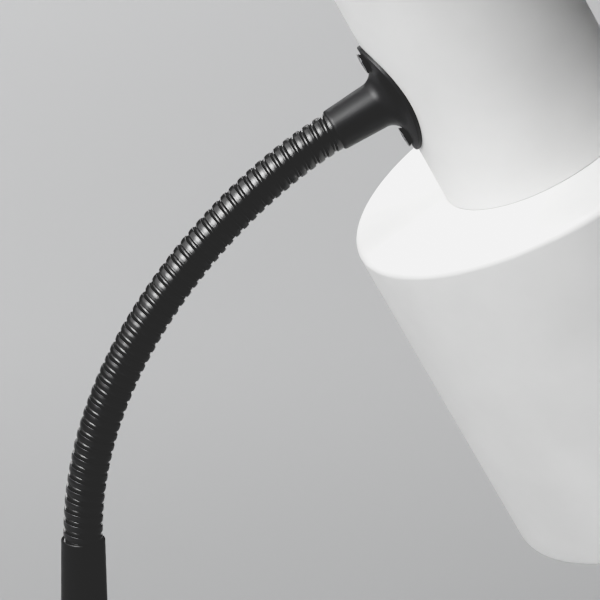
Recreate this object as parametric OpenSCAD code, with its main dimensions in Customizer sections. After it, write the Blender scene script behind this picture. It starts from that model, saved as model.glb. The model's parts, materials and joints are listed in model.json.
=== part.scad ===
// Gooseneck desk lamp: weighted round base, slender stem, flexible neck, drum shade.
// Frame: +Z up, +X from the stem towards the lamp head, origin under the middle of the base.
// All lengths are in millimetres and all angles in degrees.

/* [Base] */
// Diameter of the base
base_d = 165; // [150:1:190]
// Height of the base, from the table to its top face
base_h = 22; // [22:0.5:26]
// Rounding of the base's top edge
base_round = 4.5; // [2:0.5:5]
// Thickness of the foam pad under the base
pad_t = 2.5; // [2:0.5:3]
// Distance from the stem to the push switch
switch_x = 52; // [46:1:56]
// Travel of the push switch
switch_travel = 2; // [1:0.5:2.5]
// Diameter of the supply lead that the inlet takes
cord_d = 6.5; // [5:0.5:7]

/* [Stem] */
// Height of the top of the stem above the table
stem_top = 196; // [150:1:240]
// Diameter of the stem just under its rounded mouth
stem_mouth_d = 13.6; // [13.4:0.1:15]
// Diameter of the stem just above its foot
stem_foot_d = 20; // [17:0.5:24]

/* [Neck] */
// Outer diameter of the flexible neck
neck_d = 12.2; // [12:0.1:12.4]
// Length from one turn of the neck's wire to the next
neck_pitch = 3.48; // [3.44:0.01:3.5]
// Bare length of neck between the stem and the head's ferrule
neck_len = 154.5; // [154:0.5:158]
// Angle that the neck turns through between its two ends, at rest
neck_turn = 61.1; // [45:0.1:70]

/* [Head] */
// Diameter of the lamp housing
housing_d = 66; // [62:0.5:70]
// Length of the lamp housing
housing_len = 105; // [92:1:120]
// Height of the ferrule's axis above the housing's lower rim
ferrule_h = 39.5; // [38:0.1:42]
// Length of the ferrule, from its mouth to the housing
ferrule_len = 19.7; // [19:0.1:24]
// Diameter of the shade
shade_d = 130; // [120:1:150]
// Length of the shade
shade_len = 112; // [100:1:130]
// Diameter of the round bulb
bulb_d = 45; // [40:1:50]

/* [Hidden] */
$fn = 96;
cut = 0.5;            // how far a cutting shape runs past the face that it cuts
fit = 0.05;           // radial gap of a shaft in its hole

black = "#1d1d1e";
white = "#f1f1ef";
steel = "#a9abad";
brass = "#b99a55";

// Base
shell_t = 1.2;            // sheet thickness of the base cover
plate_t = 1.2;
plate_z = pad_t;
weight_z = plate_z + plate_t;
cover_z = 1.6;            // gap between the table and the cover's lower edge
base_r = base_d / 2;
weight_gap = 0.3;         // between the weight's edge and the cover
weight_r = base_r - shell_t - weight_gap;
weight_top = base_h - shell_t;
web_z = 16;               // underside of the web that the stem's nut pulls against
pocket_r = 17;
nut_h = 5.5;
base_screw_ring = 62;
base_screw_at = [60, 180, 300];
base_screw_r = 1.95;
base_screw_head_r = 3.6;
base_screw_head_h = 1.6;
base_screw_len = 8;

// Supply inlet and terminals
inlet_z = 10.5;
inlet_r = cord_d / 2;
gland_r = 5.4;
gland_rim_r = 6.4;
gland_out = 2;            // how far the gland stands out of the cover
gland_in = 9;
terminal_x = -50;
terminal_size = [20, 18, 10];
lead_z = weight_z + 2.5;

// Push switch
switch_pocket_r = 13;
switch_rim_r = 8.5;
switch_rim_t = 1.6;
switch_neck_r = 6;
switch_nut_t = 2.5;
switch_case = 14;         // side of the switch's square case
switch_case_z = 5;
switch_bore_r = 4.7;
button_r = 4.4;
button_rod_r = 1.8;
button_z = 15.5;          // underside of the button's cap
spring_turns = 4;
spring_steps = 12;
spring_sides = 6;
spring_r = 3.2;
spring_wire_r = 0.4;
spring_z = 7.5;
spring_h = 7.5;

// Stem and its passage for the lead
lead_r = 2.25;
passage_r = 3.6;
socket_r = 5;             // radius of the neck's end fitting
socket_len = 12;
socket_gap = 0.1;         // at the bottom of the socket
mouth_round = 0.5;        // rounding of the stem's and the ferrule's mouths
mouth_depth = 1;          // recess in each mouth where the first wire sits
mouth_r = neck_d / 2 - 0.15;
thread_r = 8;             // threaded end under the stem's foot
thread_gap = 0.1;
thread_z = 10;            // lower end of the stem
stem_foot_r = 17;
stem_foot_t = 1.2;
stem_flare = 9;           // radius of the hollow curve from the foot to the stem

// Neck: wire rings, two turns to a link and three to each end link
neck_count = 21;
link_turns = 2;
stub_turns = 3;
link_len = link_turns * neck_pitch;
stub_len = (neck_len - (neck_count - 2) * link_len) / 2;
stub_lap = 0.5;           // how far an end link and its fitting run into each other
stub_in_r = 5.25;         // the end link's body inside its wires
fitting_bore_r = 3.4;
wire_gap = 1.35;          // groove between two flat wires, where the round wire shows
wire_w = neck_pitch - wire_gap;
wire_edge = 0.2;
wire_taper = 0.5;         // how much each side of the flat wire closes in towards the core
core_r = 3.6;             // clear bore of the neck
flat_wire_in = core_r + 0.15;
round_wire_r = 1;
round_wire_at = core_r + round_wire_r;
bend_a = 1.23;            // the neck bends most at its foot, least past its middle
bend_b = 0.214;
bend_c = -1.43;
bend_d = 1 - bend_a - bend_b - bend_c;
lead_gap = 0.6;           // free end of each stretch of lead in the neck

// Ferrule and its flange
ferrule_mouth_r = 6.7;
ferrule_waist_r = 7.3;
flange_t = 1.2;
flange_half_h = 18.4;
flange_half_w = 14.5;
flange_side_r = 24;       // radius of the flange's two long edges
flange_fillet = 4.5;
flange_reach = 6;         // how far the flange reaches back round the housing
flange_screw_at = 13.55;
flange_screw_r = 1.75;
flange_screw_hole_r = 1.85;
flange_screw_head_r = 3.3;
flange_screw_rim_h = 0.35;
flange_screw_proud = 1.1; // how far a countersunk head stands out of the flange
flange_screw_crown_h = 0.15;
flange_screw_crown_r = 2.4;
flange_screw_len = 6;     // from the flange's outer face to the screw's end
flange_screw_cone_out = flange_screw_proud - flange_screw_rim_h;
flange_screw_cone_h = flange_screw_head_r - flange_screw_r;    // a 90 degree countersunk head

// Housing, bracket and shade
housing_r = housing_d / 2;
housing_t = 1.5;
housing_edge = 3;
housing_in = housing_r - housing_t;
housing_lead_r = 4.2;
bracket_t = 2;
bracket_w = 18;
bracket_z = 21;           // lower end of the bracket's leg
bracket_reach = 9;        // how far the bracket's arm passes the housing's axis
arm_z = 50;               // top face of the bracket's arm
grommet_r = 4.1;
shade_r = shade_d / 2;
shade_t = 1.2;
shade_round = 2.5;
shade_hole_r = 20.2;

// Lampholder and bulb, heights from the housing's lower rim
nipple_r = 5;
nipple_in = 3;
nipple_z = 37;
nipple_h = 18;
nipple_nut = 14;          // across its flats
nipple_nut_h = 3;
holder_r = 20;            // threaded skirt of the lampholder
holder_in = 16.5;
holder_low = -22;
holder_top = 22;
holder_rim_r = 24;        // flange that rests on the shade
holder_rim_t = 2.5;
holder_out = 22;
cap_low = 14;             // lower edge of the holder's cap
cap_shoulder = 32;
cap_cone_h = 8;
cap_neck_r = 9;
cap_neck_h = 4;
cap_wall = 1;
core_z = 4;
core_out = 16.4;
core_seat_r = 13.8;
core_seat_z = 12;
contact_r = 3;
contact_h = 3.2;
contact_z = 8.8;
ring_rim_r = 26;          // clamping ring under the shade
ring_rim_t = 2;
ring_r = 23;
ring_h = 8;
cap_z = -19;              // where the bulb's cap meets its glass
bulb_r = bulb_d / 2;
bulb_centre = -51;
bulb_wall = 1;
bulb_neck_r = 12.6;
bulb_cap_r = 13.1;
bulb_cap_h = 22;

// ---------- the neck's line at rest ----------

// Share of the neck's turn that is done at a share t of its length
function bend_done(t) = t * (bend_a + t * (bend_b + t * (bend_c + t * bend_d)));

// Distance along the neck from the stem to the middle of link k
function link_mid(k) =
    k == 1 ? stub_len / 2
    : k == neck_count ? neck_len - stub_len / 2
    : stub_len + (k - 1.5) * link_len;

// Lean of link k from the vertical
function link_lean(k) = neck_turn * bend_done(link_mid(k) / neck_len);

function along(lean) = [sin(lean), 0, cos(lean)];

// Lower end of link k, which is the hinge between it and the link below
function link_foot(k) =
    k == 1 ? [0, 0, stem_top]
    : link_foot(k - 1) + (k == 2 ? stub_len : link_len) * along(link_lean(k - 1));

neck_end = link_foot(neck_count) + stub_len * along(link_lean(neck_count));
across = along(neck_turn - 90);
rim_centre = neck_end + (ferrule_len + housing_r) * along(neck_turn) + ferrule_h * across * -1;

module on_link(k) {
    translate(link_foot(k)) rotate([0, link_lean(k), 0]) children();
}

// The head's own frame: origin at the middle of the housing's lower rim, +Z up the housing,
// +X away from the arm
module on_head() {
    translate(rim_centre) rotate([0, neck_turn - 90, 0]) children();
}

// The ferrule's own frame: origin at its mouth, +Z towards the housing
module on_ferrule() {
    translate(neck_end) rotate([0, neck_turn, 0]) children();
}

// ---------- shapes that repeat ----------

module tube(r_out, r_in, h) {
    difference() {
        cylinder(r = r_out, h = h);
        translate([0, 0, -cut]) cylinder(r = r_in, h = h + 2 * cut);
    }
}

module hex_nut(flats, r_in, h) {
    difference() {
        cylinder(r = flats / sqrt(3), h = h, $fn = 6);
        translate([0, 0, -cut]) cylinder(r = r_in, h = h + 2 * cut);
    }
}

// Bend of a lead: starts at the origin going up, and turns towards +X
module lead_bend(bend_r, turn) {
    translate([bend_r, 0, 0]) rotate([90, 0, 0]) rotate([0, 0, 180 - turn])
        rotate_extrude(angle = turn) translate([bend_r, 0]) circle(r = lead_r, $fn = 48);
}

// Quarter bend that starts at the origin going towards +X, and turns up
module lead_bend_up(bend_r) {
    mirror([0, 0, 1]) rotate([0, 90, 0]) lead_bend(bend_r, 90);
}

module straight_lead(h) {
    cylinder(r = lead_r, h = h, $fn = 48);
}

// Cross recess of a screw, to be cut from the top of its head
module cross_recess(size, depth) {
    for (turn = [0, 90]) rotate([0, 0, turn])
        translate([-size / 2, -size / 8, -depth]) cube([size, size / 4, depth + cut]);
}

// Half section of one flat wire turn, starting at z = 0
module flat_wire_half() {
    out = neck_d / 2;
    polygon([
        [flat_wire_in, wire_taper], [out - wire_edge, 0], [out, wire_edge],
        [out, wire_w - wire_edge], [out - wire_edge, wire_w], [flat_wire_in, wire_w - wire_taper]
    ]);
}

module round_wire_half() {
    translate([round_wire_at, 0]) circle(r = round_wire_r, $fn = 48);
}

// ---------- base ----------

module base_cover() {
    inside_r = base_r - shell_t;
    color(black) difference() {
        rotate_extrude($fn = 180) difference() {
            union() {
                translate([0, cover_z]) square([base_r, base_h - base_round - cover_z]);
                translate([0, base_h - base_round]) square([base_r - base_round, base_round]);
                translate([base_r - base_round, base_h - base_round]) circle(r = base_round);
            }
            translate([0, cover_z - cut]) square([inside_r, weight_top - base_round - cover_z + cut]);
            translate([0, weight_top - base_round]) square([inside_r - base_round, base_round]);
            translate([inside_r - base_round, weight_top - base_round]) circle(r = base_round);
        }
        translate([0, 0, weight_top - cut])
            cylinder(r = thread_r + thread_gap, h = shell_t + 2 * cut);
        translate([switch_x, 0, weight_top - cut])
            cylinder(r = switch_neck_r + thread_gap, h = shell_t + 2 * cut);
        translate([-base_r - cut, 0, inlet_z]) rotate([0, 90, 0])
            cylinder(r = gland_r + fit, h = 8);
    }
}

module base_weight() {
    nut_pocket_h = web_z - weight_z;
    terminal_pocket = [28, 26, 13];
    gland_pocket = [base_r + terminal_x, 18, 13.5];
    channel = [switch_x - terminal_x, 15, 5.5];
    channel_side = 5;
    tapped_r = 2;
    tapped_h = 10;
    color("#3a3a3b") difference() {
        union() {
            translate([0, 0, weight_z])
                cylinder(r = weight_r, h = weight_top - base_round - weight_z, $fn = 180);
            translate([0, 0, weight_z])
                cylinder(r = weight_r - base_round, h = weight_top - weight_z, $fn = 180);
        }
        // nut pocket, with the stem's hole through the web above it
        translate([0, 0, weight_z - cut]) cylinder(r = pocket_r, h = nut_pocket_h + cut);
        translate([0, 0, web_z - cut]) cylinder(r = thread_r + thread_gap, h = base_h - web_z + cut);
        translate([switch_x, 0, weight_z - cut]) cylinder(r = switch_pocket_r, h = base_h);
        translate([terminal_x - terminal_pocket[0] / 2, -terminal_pocket[1] / 2, weight_z - cut])
            cube(terminal_pocket + [0, 0, cut]);
        translate([-base_r - cut, -gland_pocket[1] / 2, weight_z - cut])
            cube(gland_pocket + [cut, 0, cut]);
        translate([terminal_x, -channel_side, weight_z - cut]) cube(channel + [0, 0, cut]);
        for (turn = base_screw_at) rotate([0, 0, turn])
            translate([base_screw_ring, 0, weight_z - cut]) cylinder(r = tapped_r, h = tapped_h + cut);
    }
}

module base_plate() {
    color("#2b2b2c") difference() {
        translate([0, 0, plate_z]) cylinder(r = weight_r, h = plate_t, $fn = 180);
        for (turn = base_screw_at) rotate([0, 0, turn]) translate([base_screw_ring, 0, plate_z - cut])
            cylinder(r = base_screw_r + 0.25, h = plate_t + 2 * cut);
    }
}

module base_pad() {
    pad_margin = 5;
    color("#242424") difference() {
        cylinder(r = base_r - pad_margin, h = pad_t, $fn = 180);
        for (turn = base_screw_at) rotate([0, 0, turn]) translate([base_screw_ring, 0, -cut])
            cylinder(r = base_screw_head_r + 0.9, h = pad_t + 2 * cut);
    }
}

module base_screws() {
    head_z = plate_z - base_screw_head_h;
    color(steel) for (turn = base_screw_at) rotate([0, 0, turn]) translate([base_screw_ring, 0, 0]) {
        difference() {
            translate([0, 0, head_z]) cylinder(r = base_screw_head_r, h = base_screw_head_h);
            translate([0, 0, head_z]) rotate([180, 0, 0]) cross_recess(4, 1);
        }
        translate([0, 0, plate_z]) cylinder(r = base_screw_r, h = base_screw_len);
    }
}

module cable_gland() {
    collar_x = -base_r + shell_t + 0.4;
    wall_gap = 0.02;
    slab = 20;
    color(black) translate([0, 0, inlet_z]) difference() {
        union() {
            translate([-base_r - gland_out, 0, 0]) rotate([0, 90, 0])
                cylinder(r = gland_rim_r, h = gland_out + 1);
            translate([-base_r, 0, 0]) rotate([0, 90, 0]) cylinder(r = gland_r, h = gland_in);
            translate([collar_x, 0, 0]) rotate([0, 90, 0]) cylinder(r = gland_rim_r, h = 2);
        }
        // the rim and the collar follow the round wall of the cover between them
        translate([0, 0, -slab / 2]) difference() {
            cylinder(r = base_r + wall_gap, h = slab, $fn = 180);
            translate([0, 0, -cut])
                cylinder(r = base_r - shell_t - wall_gap, h = slab + 2 * cut, $fn = 180);
            translate([-base_r - 5, 0, slab / 2]) rotate([0, 90, 0])
                cylinder(r = gland_r, h = slab);
        }
        translate([-base_r - 3, 0, 0]) rotate([0, 90, 0]) cylinder(r = inlet_r, h = 14);
    }
}

module terminal_block() {
    entry_z = 4;
    entry_r = 1.6;
    entry_h = 7;
    screw_r = 1.8;
    screw_z = 6;
    color("#e8e6df") translate([terminal_x, 0, weight_z + 0.3]) difference() {
        translate([-terminal_size[0] / 2, -terminal_size[1] / 2, 0]) cube(terminal_size);
        for (side = [-4.5, 4.5]) {
            translate([-terminal_size[0] / 2 - cut, side, entry_z]) rotate([0, 90, 0])
                cylinder(r = entry_r, h = entry_h);
            for (end = [-5, 5]) translate([end, side, screw_z]) cylinder(r = screw_r, h = 6);
        }
    }
}

module switch_body() {
    neck_z = 13;
    case_h = 9;
    bore_z = 7;
    color(black) translate([switch_x, 0, 0]) difference() {
        union() {
            translate([0, 0, base_h]) cylinder(r = switch_rim_r, h = switch_rim_t);
            translate([0, 0, neck_z]) cylinder(r = switch_neck_r, h = base_h - neck_z + 1);
            translate([-switch_case / 2, -switch_case / 2, switch_case_z])
                cube([switch_case, switch_case, case_h]);
            // ring nut under the cover
            translate([0, 0, weight_top - switch_nut_t]) cylinder(r = switch_rim_r, h = switch_nut_t);
        }
        translate([0, 0, bore_z]) cylinder(r = switch_bore_r, h = base_h);
    }
}

module switch_button() {
    top = base_h + switch_rim_t + switch_travel + 0.8;
    chamfer = 0.6;
    rod_z = 10.5;
    color("#2a2a2b") translate([switch_x, 0, 0]) {
        translate([0, 0, button_z]) cylinder(r = button_r, h = top - chamfer - button_z);
        translate([0, 0, top - chamfer]) cylinder(r1 = button_r, r2 = button_r - chamfer, h = chamfer);
        translate([0, 0, rod_z]) cylinder(r = button_rod_r, h = button_z - rod_z + cut);
    }
}

// Coil spring under the button: a wire swept along a helix
function spring_ring(i) =
    let (
        turn = i * 360 / spring_steps,
        rise = spring_h * i / (spring_turns * spring_steps)
    )
    [for (j = [0 : spring_sides - 1])
        let (
            a = j * 360 / spring_sides,
            r = spring_r + spring_wire_r * cos(a)
        )
        [r * cos(turn), r * sin(turn), rise + spring_wire_r * sin(a)]];

module switch_spring() {
    last = spring_turns * spring_steps;
    points = [for (i = [0 : last]) each spring_ring(i)];
    sides = [for (i = [0 : last - 1], j = [0 : spring_sides - 1])
        let (next = (j + 1) % spring_sides)
        each [
            [i * spring_sides + j, i * spring_sides + next, (i + 1) * spring_sides + next],
            [i * spring_sides + j, (i + 1) * spring_sides + next, (i + 1) * spring_sides + j]
        ]];
    foot = [for (j = [spring_sides - 1 : -1 : 0]) j];
    head = [for (j = [0 : spring_sides - 1]) last * spring_sides + j];
    color(steel) translate([switch_x, 0, spring_z]) polyhedron(points, concat(sides, [foot, head]));
}

// Supply lead from the terminal block, through the nut pocket and up the stem into the neck,
// with the twin lead from the block to the switch
module base_lead() {
    bend_r = 5;
    start_x = terminal_x + terminal_size[0] / 2 + 0.2;
    far_end = stub_len + link_len / 2 - lead_gap;
    twin_r = 1.6;
    twin_y = 7;
    twin_z = lead_z - 0.6;
    twin_end = switch_x - switch_case / 2 - 0.2;
    color("#d8d6d0") {
        translate([start_x, 0, lead_z]) rotate([0, 90, 0]) straight_lead(-start_x - bend_r);
        translate([-bend_r, 0, lead_z]) lead_bend_up(bend_r);
        translate([0, 0, lead_z + bend_r]) straight_lead(stem_top + far_end - lead_z - bend_r);
        translate([start_x, twin_y, twin_z]) rotate([0, 90, 0])
            cylinder(r = twin_r, h = twin_end - start_x, $fn = 48);
    }
}

// ---------- stem ----------

module stem() {
    flare_top = base_h + stem_foot_t + stem_flare;
    flare_x = stem_foot_d / 2 + stem_flare;
    foot_in = stem_foot_r - stem_foot_t / 2;
    lip_r = stem_mouth_d / 2;
    color(black) difference() {
        rotate_extrude() difference() {
            union() {
                translate([0, thread_z]) square([thread_r, base_h - thread_z + cut]);
                translate([0, base_h]) square([stem_foot_r, stem_foot_t]);
                polygon([
                    [0, base_h], [foot_in, base_h], [foot_in, flare_top],
                    [stem_foot_d / 2, flare_top], [lip_r, stem_top - mouth_round],
                    [0, stem_top - mouth_round]
                ]);
                translate([0, stem_top - mouth_round]) square([lip_r - mouth_round, mouth_round]);
                translate([lip_r - mouth_round, stem_top - mouth_round])
                    circle(r = mouth_round, $fn = 48);
            }
            translate([flare_x, flare_top]) circle(r = stem_flare);
            translate([flare_x, base_h + stem_foot_t]) square([stem_flare, stem_flare]);
        }
        translate([0, 0, thread_z - cut]) cylinder(r = passage_r, h = stem_top);
        translate([0, 0, stem_top - socket_len - socket_gap])
            cylinder(r = socket_r + fit, h = socket_len + 1);
        translate([0, 0, stem_top - mouth_depth]) cylinder(r = mouth_r, h = 2 * mouth_depth);
    }
}

module stem_nut() {
    color(steel) translate([0, 0, web_z - nut_h]) hex_nut(24, thread_r, nut_h);
}

// ---------- neck ----------

// Half section of an end link, from its ferrule's mouth at z = 0 to its hinge
module neck_stub_half() {
    inner_end = stub_len - stub_turns * neck_pitch + wire_gap;
    translate([0, -stub_lap]) square([stub_in_r, inner_end + stub_lap]);
    for (turn = [1 : stub_turns]) {
        translate([0, stub_len - turn * neck_pitch]) round_wire_half();
        translate([0, stub_len - turn * neck_pitch + wire_gap / 2]) flat_wire_half();
    }
}

// An end link: its turns lean with the neck, and its fitting stands straight in the ferrule.
// Origin at the ferrule's mouth, +Z along the neck.
module neck_stub(lean) {
    color(black) difference() {
        union() {
            rotate([0, lean, 0]) rotate_extrude() neck_stub_half();
            translate([0, 0, -socket_len]) cylinder(r = socket_r, h = socket_len + stub_lap);
        }
        rotate([0, lean, 0]) translate([0, 0, -stub_lap]) cylinder(r = core_r, h = stub_len + 1);
        translate([0, 0, -socket_len - cut]) cylinder(r = fitting_bore_r, h = socket_len + 2 * cut);
    }
}

module neck_link() {
    color(black) rotate_extrude() difference() {
        union() {
            for (turn = [0 : link_turns - 1])
                translate([0, wire_gap / 2 + turn * neck_pitch]) flat_wire_half();
            translate([0, neck_pitch]) round_wire_half();
        }
        square([core_r, link_len]);
    }
}

module neck_part(k) {
    if (k == 1) translate(link_foot(1)) neck_stub(link_lean(k));
    else if (k == neck_count) on_ferrule() mirror([0, 0, 1]) neck_stub(neck_turn - link_lean(k));
    else on_link(k) neck_link();
}

// Stretch of the lead that link k carries: half a link further at each end
module neck_lead(k) {
    color("#d8d6d0") on_link(k) translate([0, 0, lead_gap - link_len / 2])
        straight_lead(2 * link_len - 2 * lead_gap);
}

// ---------- head ----------

// Oval outline of the flange, as an intersection of three circles
module flange_outline() {
    intersection() {
        circle(r = flange_half_h);
        translate([0, flange_side_r - flange_half_w]) circle(r = flange_side_r);
        translate([0, flange_half_w - flange_side_r]) circle(r = flange_side_r);
    }
}

// The housing's outer wall, in the ferrule's frame
module housing_cylinder(r) {
    translate([-30, 0, ferrule_len + housing_r]) rotate([0, 90, 0]) cylinder(r = r, h = 60, $fn = 180);
}

module ferrule() {
    face = ferrule_len - flange_t;      // height of the flange's outer face on the axis
    root = 3;                           // how far the neck of the ferrule runs on under the flange
    fillet_z = face - flange_fillet;
    fillet_r = ferrule_waist_r + flange_fillet;
    color(black) on_ferrule() difference() {
        union() {
            rotate_extrude() {
                square([ferrule_mouth_r - mouth_round, mouth_round]);
                translate([ferrule_mouth_r - mouth_round, mouth_round])
                    circle(r = mouth_round, $fn = 48);
                polygon([
                    [0, mouth_round], [ferrule_mouth_r, mouth_round], [ferrule_waist_r, fillet_z],
                    [ferrule_waist_r, face + root], [0, face + root]
                ]);
            }
            rotate_extrude() difference() {
                translate([0, fillet_z]) square([fillet_r, flange_fillet + root]);
                translate([fillet_r, fillet_z]) circle(r = flange_fillet);
                translate([fillet_r - 0.9, fillet_z - flange_fillet])
                    square([2 * flange_fillet, 3 * flange_fillet]);
            }
            intersection() {
                translate([0, 0, face - 1])
                    linear_extrude(height = flange_reach + flange_t + 1) flange_outline();
                housing_cylinder(housing_r + flange_t);
            }
        }
        housing_cylinder(housing_r);
        translate([0, 0, -cut]) cylinder(r = passage_r, h = ferrule_len + 5);
        translate([0, 0, -cut]) cylinder(r = socket_r + fit, h = socket_len + socket_gap + cut);
        translate([0, 0, -cut]) cylinder(r = mouth_r, h = mouth_depth + cut);
        for (side = [-1, 1]) translate([side * flange_screw_at, 0, face - flange_screw_cone_out]) {
            cylinder(r = flange_screw_hole_r, h = flange_t + cut + flange_screw_cone_out);
            cylinder(
                r1 = flange_screw_head_r + fit, r2 = flange_screw_r + fit, h = flange_screw_cone_h
            );
        }
    }
}

// Countersunk screws whose heads stand proud of the flange, as its countersinks are small
module flange_screws() {
    face = ferrule_len - flange_t;
    head_top = -flange_screw_proud;
    crown_top = head_top - flange_screw_crown_h;
    recess_depth = 1.2;
    color("#232324") on_ferrule() for (side = [-1, 1]) translate([side * flange_screw_at, 0, face]) {
        difference() {
            rotate_extrude() polygon([
                [0, crown_top], [flange_screw_crown_r, crown_top], [flange_screw_head_r, head_top],
                [flange_screw_head_r, -flange_screw_cone_out],
                [flange_screw_r, flange_screw_cone_h - flange_screw_cone_out],
                [flange_screw_r, flange_screw_len], [0, flange_screw_len]
            ]);
            translate([0, 0, crown_top]) rotate([180, 0, 45]) cross_recess(3.6, recess_depth);
        }
    }
}

module housing() {
    inner_edge = housing_edge - housing_t;
    shoulder = housing_len - housing_edge;
    color(white) on_head() difference() {
        rotate_extrude($fn = 180) difference() {
            union() {
                square([housing_r, shoulder]);
                translate([0, shoulder]) square([housing_r - housing_edge, housing_edge]);
                translate([housing_r - housing_edge, shoulder]) circle(r = housing_edge);
            }
            translate([0, -cut]) square([housing_in, shoulder + cut]);
            translate([0, shoulder]) square([housing_r - housing_edge, inner_edge]);
            translate([housing_r - housing_edge, shoulder]) circle(r = inner_edge);
        }
        translate([-housing_r - 1, 0, ferrule_h]) rotate([0, 90, 0]) {
            for (side = [-1, 1]) translate([side * flange_screw_at, 0, 0])
                cylinder(r = flange_screw_hole_r, h = 4);
            cylinder(r = housing_lead_r, h = 4);
        }
    }
}

// Inner bracket: a leg that the flange's screws draw against the wall, and an arm that
// carries the lampholder
module holder_bracket() {
    low = bracket_z - 1;
    color(steel) on_head() difference() {
        intersection() {
            union() {
                difference() {
                    cylinder(r = housing_in - fit, h = arm_z, $fn = 180);
                    translate([0, 0, -cut]) cylinder(r = housing_in - bracket_t, h = arm_z + 2 * cut);
                }
                translate([0, 0, arm_z - bracket_t]) cylinder(r = housing_in - 1, h = bracket_t);
            }
            translate([-housing_r, -bracket_w / 2, bracket_z])
                cube([housing_r + bracket_reach, bracket_w, arm_z - bracket_z + 9]);
        }
        // everything under the arm but the leg
        translate([-10, -housing_r, low]) cube([housing_r, housing_d, arm_z - bracket_t - low]);
        translate([-housing_r, 0, ferrule_h]) rotate([0, 90, 0]) {
            for (side = [-1, 1]) translate([side * flange_screw_at, 0, 0])
                cylinder(r = flange_screw_r + fit, h = 6);
            cylinder(r = housing_lead_r + 0.4, h = 6);
        }
        translate([0, 0, arm_z - bracket_t - cut]) {
            cylinder(r = nipple_r + fit, h = bracket_t + 2 * cut);
            translate([-14, 0, 0]) cylinder(r = 3.2, h = bracket_t + 2 * cut);
        }
    }
}

module lead_grommet() {
    color("#303031") on_head() translate([-housing_r + 0.4, 0, ferrule_h]) rotate([0, 90, 0])
        tube(grommet_r, lead_r + 0.1, 3.4);
}

// Lead from the neck through the ferrule, over the bracket's arm and down the nipple
module head_lead() {
    bend_r = 8;
    over_r = 7;
    rise_x = -2 * over_r;
    start_x = -(housing_r + ferrule_len + stub_len + link_len / 2 - lead_gap);
    bend_x = rise_x - bend_r;
    top = arm_z + 7;
    end_z = 32;
    color("#d8d6d0") on_head() {
        translate([start_x, 0, ferrule_h]) rotate([0, 90, 0]) straight_lead(bend_x - start_x);
        translate([bend_x, 0, ferrule_h]) lead_bend_up(bend_r);
        translate([rise_x, 0, ferrule_h + bend_r]) straight_lead(top - ferrule_h - bend_r);
        translate([rise_x, 0, top]) lead_bend(over_r, 180);
        translate([0, 0, end_z]) straight_lead(top - end_z);
    }
}

module holder_nipple() {
    color(steel) on_head() translate([0, 0, nipple_z]) tube(nipple_r, nipple_in, nipple_h);
}

module nipple_nuts() {
    color(steel) on_head() {
        translate([0, 0, arm_z]) hex_nut(nipple_nut, nipple_r, nipple_nut_h);
        translate([0, 0, arm_z - bracket_t - nipple_nut_h]) hex_nut(nipple_nut, nipple_r, nipple_nut_h);
    }
}

module holder_cap() {
    neck_z = cap_shoulder + cap_cone_h;
    color(black) on_head() difference() {
        union() {
            translate([0, 0, cap_low]) cylinder(r = holder_out, h = cap_shoulder - cap_low);
            translate([0, 0, cap_shoulder]) cylinder(r1 = holder_out, r2 = cap_neck_r, h = cap_cone_h);
            translate([0, 0, neck_z]) cylinder(r = cap_neck_r, h = cap_neck_h);
        }
        translate([0, 0, cap_low - 1]) cylinder(r = holder_r, h = cap_shoulder - cap_low);
        translate([0, 0, cap_shoulder - cap_wall - fit])
            cylinder(r1 = holder_r, r2 = cap_neck_r - 2, h = cap_cone_h - cap_wall);
        translate([0, 0, neck_z - 4]) cylinder(r = nipple_r, h = 10);
    }
}

module holder_skirt() {
    color(black) on_head() difference() {
        union() {
            translate([0, 0, holder_low]) cylinder(r = holder_r - fit, h = holder_top - holder_low);
            translate([0, 0, fit]) cylinder(r = holder_rim_r, h = holder_rim_t);
            translate([0, 0, 2]) cylinder(r = holder_out, h = cap_low - 2 - fit);
        }
        translate([0, 0, holder_low - cut])
            cylinder(r = holder_in, h = holder_top - holder_low + 2 * cut);
    }
}

module holder_core() {
    wire_hole_r = 1.6;
    wire_hole_at = 7;
    color("#eceae4") on_head() difference() {
        translate([0, 0, core_z]) cylinder(r = core_out, h = holder_top - core_z);
        translate([0, 0, core_z - 1]) cylinder(r = core_seat_r, h = core_seat_z - core_z + 1);
        for (side = [-1, 1]) translate([0, side * wire_hole_at, core_z - 1])
            cylinder(r = wire_hole_r, h = holder_top);
    }
}

module holder_contact() {
    color(brass) on_head() translate([0, 0, contact_z]) cylinder(r = contact_r, h = contact_h);
}

module shade_ring() {
    color(black) on_head() difference() {
        union() {
            translate([0, 0, -shade_t - ring_rim_t]) cylinder(r = ring_rim_r, h = ring_rim_t);
            translate([0, 0, -shade_t - ring_h]) cylinder(r = ring_r, h = ring_h - cut);
        }
        translate([0, 0, -shade_t - ring_h - 1]) cylinder(r = holder_r, h = ring_h + 2);
    }
}

module shade() {
    color(white) on_head() difference() {
        rotate_extrude($fn = 180) difference() {
            union() {
                translate([0, -shade_len]) square([shade_r, shade_len - shade_round]);
                translate([0, -shade_round]) square([shade_r - shade_round, shade_round]);
                translate([shade_r - shade_round, -shade_round]) circle(r = shade_round);
            }
            translate([0, -shade_len - cut]) square([shade_r - shade_t, shade_len - shade_round + cut]);
            translate([0, -shade_round]) square([shade_r - shade_round, shade_round - shade_t]);
            translate([shade_r - shade_round, -shade_round]) circle(r = shade_round - shade_t);
        }
        translate([0, 0, -shade_t - cut]) cylinder(r = shade_hole_r, h = shade_t + 2 * cut);
    }
}

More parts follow.
